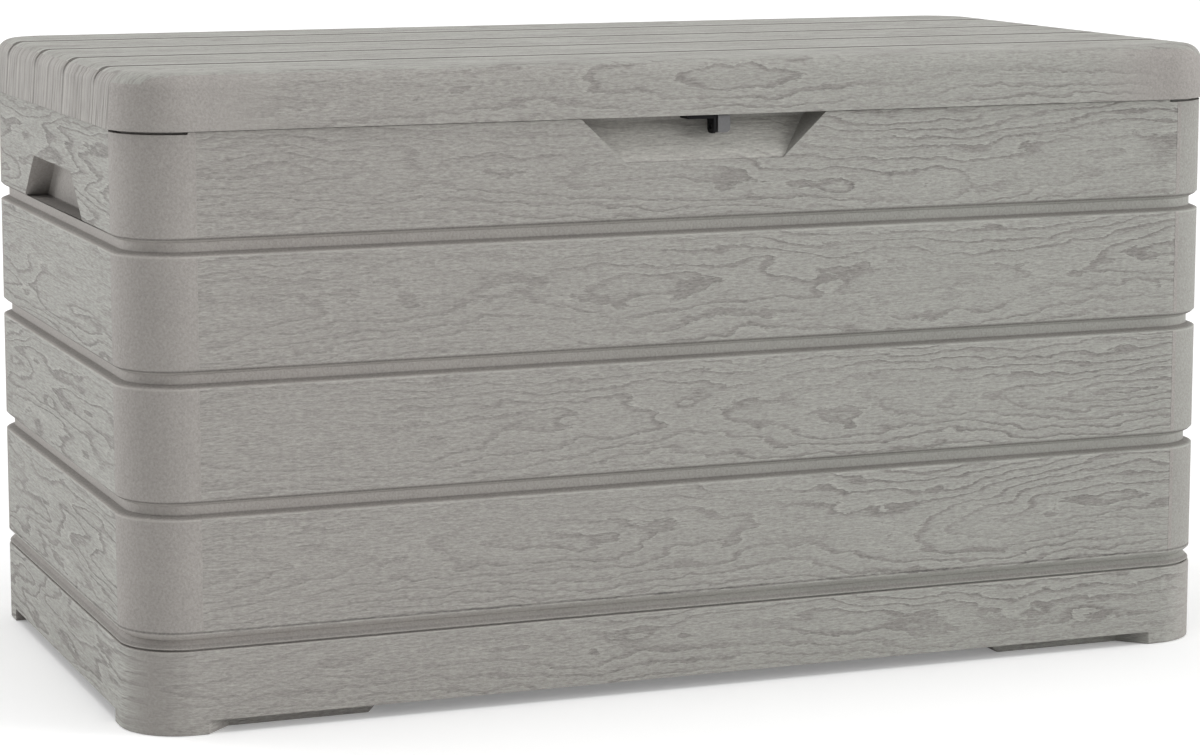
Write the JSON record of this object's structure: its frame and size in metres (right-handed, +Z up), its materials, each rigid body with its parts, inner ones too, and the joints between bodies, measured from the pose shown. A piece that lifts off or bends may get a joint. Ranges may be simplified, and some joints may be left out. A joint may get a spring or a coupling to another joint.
{
  "type": "garden storage box",
  "caption": "Rectangular resin chest of horizontal boards with rounded corners, moulded hand-holds and a plank lid hinged along its rear edge.",
  "frame": {"origin": "on the ground, at the middle of the box's footprint", "axes": "+X to the right along the length as seen from the front, +Y to the rear where the hinges are, +Z up"},
  "size_m": [1.248, 0.6668, 0.671],
  "materials": {
    "grey_resin": "matte, embossed wood grain",
    "dark_grey_plastic": "matte",
    "black_plastic": "matte",
    "soft_rubber": "matte",
    "steel": "zinc plated"
  },
  "bodies": {
    "box": {"base_tray": "grey_resin", "front_panel": "grey_resin", "rear_panel": "grey_resin", "left_side_panel": "grey_resin", "right_side_panel": "grey_resin", "body_hasp": "dark_grey_plastic", "body_hasp_screw": "steel", "hinge_left_body_leaf": "black_plastic", "hinge_right_body_leaf": "black_plastic", "hinge_left_pin": "steel", "hinge_right_pin": "steel", "hinge_body_screws": "steel"},
    "lid": {"lid_shell": "grey_resin", "lid_liner": "grey_resin", "lid_bumpers": "soft_rubber", "lid_hasp": "black_plastic", "lid_hasp_screws": "steel", "hinge_left_lid_leaf": "black_plastic", "hinge_right_lid_leaf": "black_plastic", "hinge_lid_screws": "steel"}
  },
  "joints": [
    {"name": "lid_hinge", "type": "hinge", "parent": "box", "child": "lid", "pos_m": [0, 0.3274, 0.603], "axis": [-1, 0, 0], "range_deg": [0, 100]}
  ]
}
